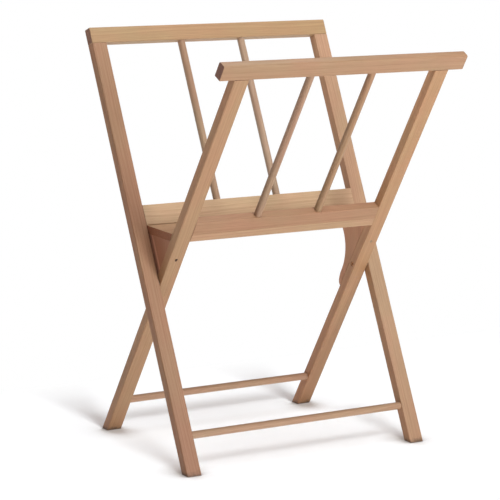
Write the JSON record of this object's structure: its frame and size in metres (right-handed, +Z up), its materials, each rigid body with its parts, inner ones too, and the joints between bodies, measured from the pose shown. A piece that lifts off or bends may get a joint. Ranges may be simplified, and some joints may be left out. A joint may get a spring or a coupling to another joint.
{
  "type": "folding browser rack",
  "caption": "Folding beech browser rack: crossed frames on one hinge axis, with a shelf and V-shaped cradle that holds prints or canvases upright.",
  "frame": {"origin": "on the floor under the centre of the bounding box", "axes": "+X along the rails, to the right as seen from the front; -Y to the front, where the front frame's top rail stands out; +Z up"},
  "size_m": [0.672, 0.5699, 0.9436],
  "materials": {
    "beech_stile": "oiled steamed beech, satin",
    "beech_rail": "oiled steamed beech, satin",
    "beech_board": "oiled steamed beech, satin",
    "beech_round": "oiled beech dowel, satin",
    "bronzed_steel": "bronzed",
    "washer_steel": "bright zinc",
    "zinc_steel": "dull zinc"
  },
  "bodies": {
    "front_frame": {"front_stile_left": "beech_stile", "front_stile_right": "beech_stile", "front_top_rail": "beech_rail", "front_rail": "beech_rail", "front_dowel_left": "beech_round", "front_dowel_right": "beech_round", "front_rung": "beech_round", "shelf": "beech_board", "bracket_left": "beech_board", "bracket_right": "beech_board", "bracket_screw_left_upper": "zinc_steel", "bracket_screw_left_lower": "zinc_steel", "bracket_screw_right_upper": "zinc_steel", "bracket_screw_right_lower": "zinc_steel", "screw_plug_left_upper": "beech_round", "screw_plug_left_lower": "beech_round", "screw_plug_right_upper": "beech_round", "screw_plug_right_lower": "beech_round"},
    "back_frame": {"back_stile_left": "beech_stile", "back_stile_right": "beech_stile", "back_top_rail": "beech_rail", "back_board": "beech_board", "back_dowel_left": "beech_round", "back_dowel_right": "beech_round", "back_rung": "beech_round", "pivot_screw_left": "bronzed_steel", "pivot_screw_right": "bronzed_steel", "pivot_washer_left": "washer_steel", "pivot_washer_right": "washer_steel"}
  },
  "joints": [
    {"name": "fold", "type": "hinge", "parent": "front_frame", "child": "back_frame", "pos_m": [0, -0.00199, 0.394], "axis": [1, 0, 0], "range_deg": [0, 44]}
  ]
}
